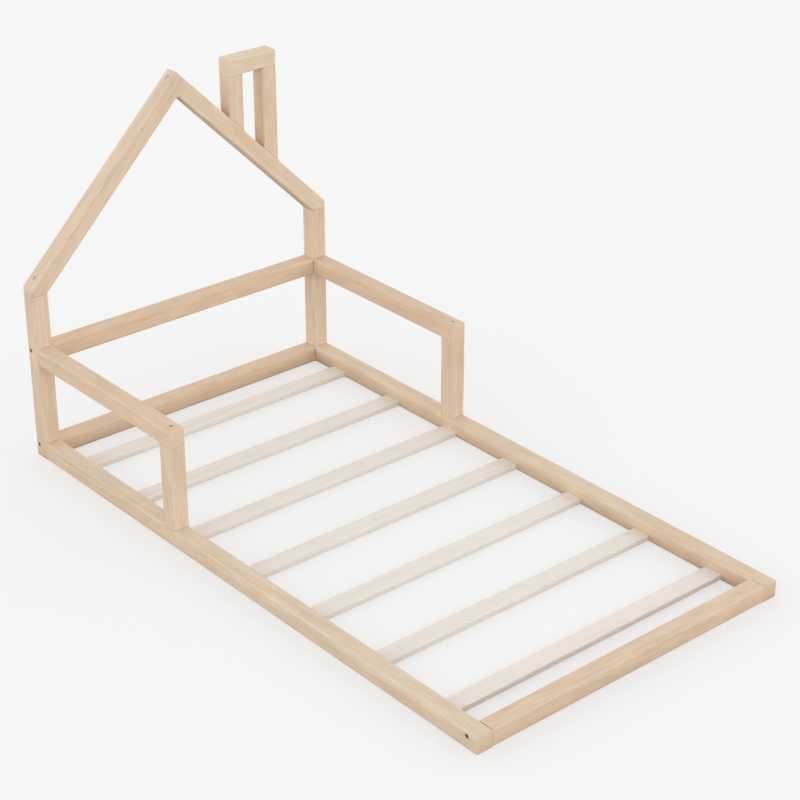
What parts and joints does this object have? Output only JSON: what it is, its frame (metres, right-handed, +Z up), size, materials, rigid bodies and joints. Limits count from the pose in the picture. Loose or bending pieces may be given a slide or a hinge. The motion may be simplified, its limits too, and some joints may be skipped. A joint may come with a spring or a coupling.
{
  "type": "platform bed",
  "caption": "Low floor bed for a child: slatted timber frame that lies on the floor, house-gable headboard with a chimney, short guard rails beside the pillow.",
  "frame": {"origin": "centre of the footprint, on the floor", "axes": "+X along the bed from the headboard towards the foot, +Y across the bed towards the chimney's side, which is the right as seen from the foot, +Z up"},
  "size_m": [2.018, 1.108, 1.12],
  "materials": {
    "frame_timber": "satin",
    "slat_timber": "matt",
    "bolt_steel": "satin",
    "dowel_timber": "matt"
  },
  "bodies": {
    "root": {"headboard_post_left": "frame_timber", "headboard_post_right": "frame_timber", "headboard_bottom_rail": "frame_timber", "headboard_mid_rail": "frame_timber", "rafter_left": "frame_timber", "rafter_right": "frame_timber", "chimney_leg_inner": "frame_timber", "chimney_leg_outer": "frame_timber", "chimney_cap": "frame_timber", "side_rail_left": "frame_timber", "side_rail_right": "frame_timber", "foot_rail": "frame_timber", "guard_rail_left": "frame_timber", "guard_rail_right": "frame_timber", "guard_post_left": "frame_timber", "guard_post_right": "frame_timber", "slat_1": "slat_timber", "slat_2": "slat_timber", "slat_3": "slat_timber", "slat_4": "slat_timber", "slat_5": "slat_timber", "slat_6": "slat_timber", "slat_7": "slat_timber", "headboard_rail_bolts": "bolt_steel", "headboard_rail_nuts": "bolt_steel", "foot_rail_bolts": "bolt_steel", "foot_rail_nuts": "bolt_steel", "long_rail_bolts": "bolt_steel", "long_rail_nuts": "bolt_steel", "eave_bolts": "bolt_steel", "eave_nuts": "bolt_steel", "eave_caps": "bolt_steel", "ridge_bolt": "bolt_steel", "ridge_nut": "bolt_steel", "guard_top_bolts": "bolt_steel", "guard_foot_bolts": "bolt_steel", "guard_post_nuts": "bolt_steel", "chimney_screws": "bolt_steel", "slat_screws": "bolt_steel", "rail_dowels": "dowel_timber", "guard_dowels": "dowel_timber", "chimney_dowels": "dowel_timber"}
  },
  "joints": []
}
